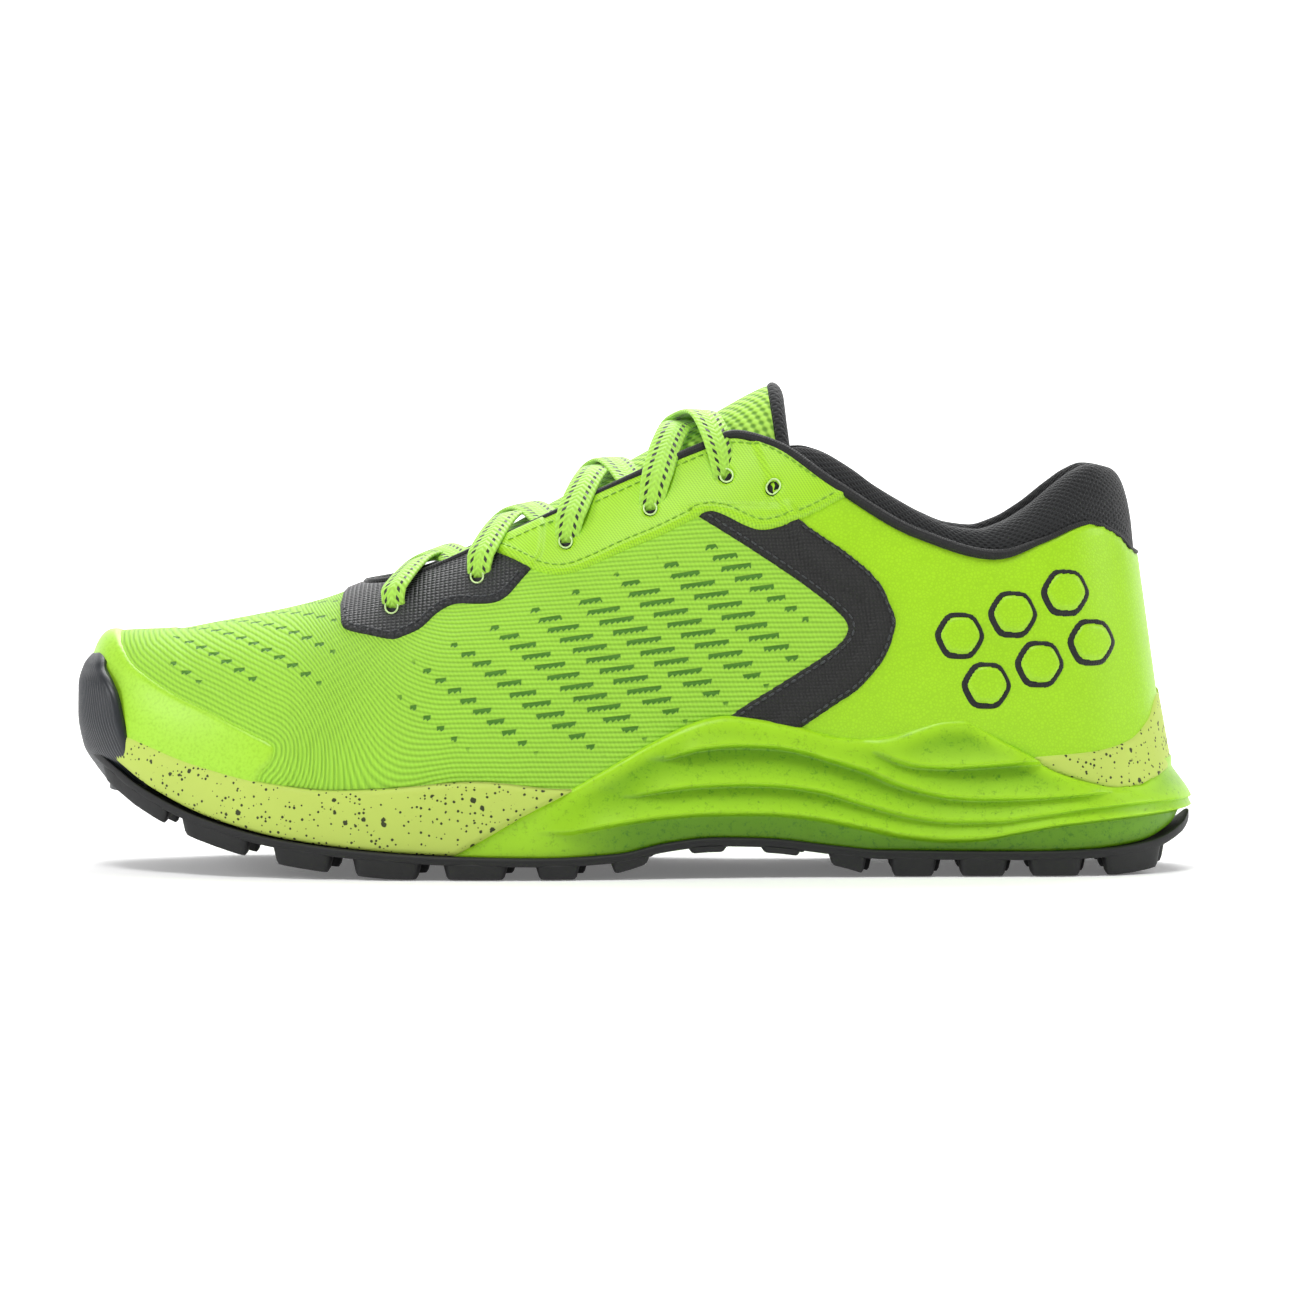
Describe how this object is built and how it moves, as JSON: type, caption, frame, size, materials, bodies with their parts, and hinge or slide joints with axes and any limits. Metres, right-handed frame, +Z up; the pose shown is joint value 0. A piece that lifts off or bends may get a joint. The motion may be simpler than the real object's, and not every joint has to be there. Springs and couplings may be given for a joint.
{
  "type": "running shoe",
  "caption": "Left trail running shoe: ribbed knit upper with fused overlays, padded collar and tongue, criss-cross lace, two-part foam midsole and lugged rubber outsole.",
  "frame": {"origin": "middle of the shoe's footprint box, on the ground", "axes": "+X from toe to heel, -Y the lateral (outer) side, +Y the medial side, +Z up"},
  "size_m": [0.3, 0.106, 0.1294],
  "materials": {
    "black_rubber": "moulded, matt",
    "slate_rubber": "moulded, fine ribs",
    "speckled_foam": "moulded EVA foam with black flecks",
    "green_foam": "moulded EVA foam skin",
    "board": "pressed fibre",
    "sockliner": "brushed mesh on foam",
    "knit": "ribbed engineered knit",
    "green_film": "smooth fused film",
    "grain_synthetic": "fine leather grain",
    "twill_synthetic": "fine twill",
    "black_woven": "woven nylon",
    "black_binding": "folded tape",
    "padding": "open-cell foam",
    "black_mesh": "air mesh",
    "tongue_knit": "light knit",
    "lace_braid": "flat braid with black dashes",
    "clear_tip": "shrunk film"
  },
  "bodies": {
    "shoe": {"outsole": "black_rubber", "toe_bumper": "slate_rubber", "midsole_core": "speckled_foam", "midsole_frame": "green_foam", "strobel_board": "board", "knit_upper": "knit", "toe_overlay": "green_film", "toe_puff": "board", "heel_counter": "board", "rear_quarter": "grain_synthetic", "eyestay_lateral": "twill_synthetic", "eyestay_medial": "twill_synthetic", "side_stripe_lateral": "black_woven", "side_stripe_medial": "black_woven", "throat_reinforcement": "black_woven", "topline_binding": "black_binding", "collar_foam": "padding", "collar_lining": "black_mesh", "lace": "lace_braid", "lace_tips": "clear_tip"},
    "tongue": {"tongue_face": "tongue_knit", "tongue_pad": "padding", "tongue_lining": "black_mesh"},
    "insole": {"insole": "sockliner"}
  },
  "joints": [
    {"name": "tongue_fold", "type": "hinge", "parent": "shoe", "child": "tongue", "pos_m": [-0.06, 0.0045, 0.0735], "axis": [0, 1, 0], "range_deg": [0, 8], "stiffness_Nm_per_rad": 0.3, "springref_deg": -2.86},
    {"name": "insole_lift", "type": "hinge", "parent": "shoe", "child": "insole", "pos_m": [-0.14, 0.0105, 0.0375], "axis": [0, -1, 0], "range_deg": [0, 4]}
  ]
}
